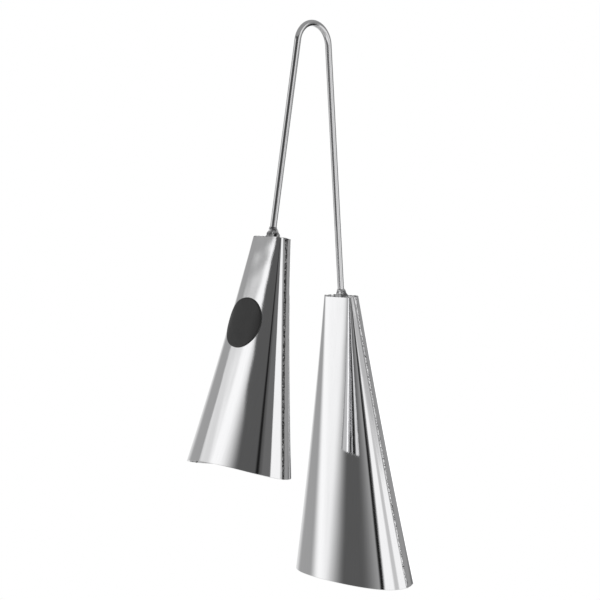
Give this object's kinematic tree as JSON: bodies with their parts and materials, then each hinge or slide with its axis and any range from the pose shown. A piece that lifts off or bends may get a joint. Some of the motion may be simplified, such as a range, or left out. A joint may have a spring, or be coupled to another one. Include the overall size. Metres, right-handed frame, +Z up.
{
  "type": "double agogo bell",
  "caption": "Double agogo: a small and a large sheet-metal bell, pinched at the top and oval at the mouth, welded to a springy bent rod that is squeezed to click them; also struck with a beater.",
  "frame": {"origin": "inside the top of the handle's bend, where the instrument hangs", "axes": "+Z up along the handle, the handle in the XZ plane, the large bell on +X, the small bell on -X, the front seams on -Y"},
  "size_m": [0.1797, 0.1116, 0.4232],
  "materials": {
    "shell_chrome": "mirror polished, with fine lengthwise lines",
    "rod_chrome": "polished",
    "seam_bead": "rough plated weld bead",
    "rough_weld": "lumpy plated weld",
    "badge_black": "satin black, blank"
  },
  "bodies": {
    "handle": {"handle_bend": "rod_chrome"},
    "small_bell": {"small_leg": "rod_chrome", "small_outer_shell": "shell_chrome", "small_inner_shell": "shell_chrome", "small_crown_plate": "shell_chrome", "small_front_seam_weld": "seam_bead", "small_back_seam_weld": "seam_bead", "small_crown_weld": "rough_weld", "small_rod_weld": "rough_weld", "small_badge": "badge_black"},
    "large_bell": {"large_leg": "rod_chrome", "large_outer_shell": "shell_chrome", "large_inner_shell": "shell_chrome", "large_crown_plate": "shell_chrome", "large_front_seam_weld": "seam_bead", "large_back_seam_weld": "seam_bead", "large_crown_weld": "rough_weld", "large_rod_weld": "rough_weld"}
  },
  "joints": [
    {"name": "small_leg_flex", "type": "hinge", "parent": "handle", "child": "small_bell", "pos_m": [-0.01584, 0, -0.01072], "axis": [0, -1, 0], "range_deg": [0, 5.9], "stiffness_Nm_per_rad": 45, "springref_deg": -0.15, "deforming": ["handle_bend"]},
    {"name": "large_leg_flex", "type": "hinge", "parent": "handle", "child": "large_bell", "pos_m": [0.01605, 0, -0.01236], "axis": [0, 1, 0], "range_deg": [0, 5.9], "stiffness_Nm_per_rad": 45, "springref_deg": -0.1, "deforming": ["handle_bend"]}
  ]
}
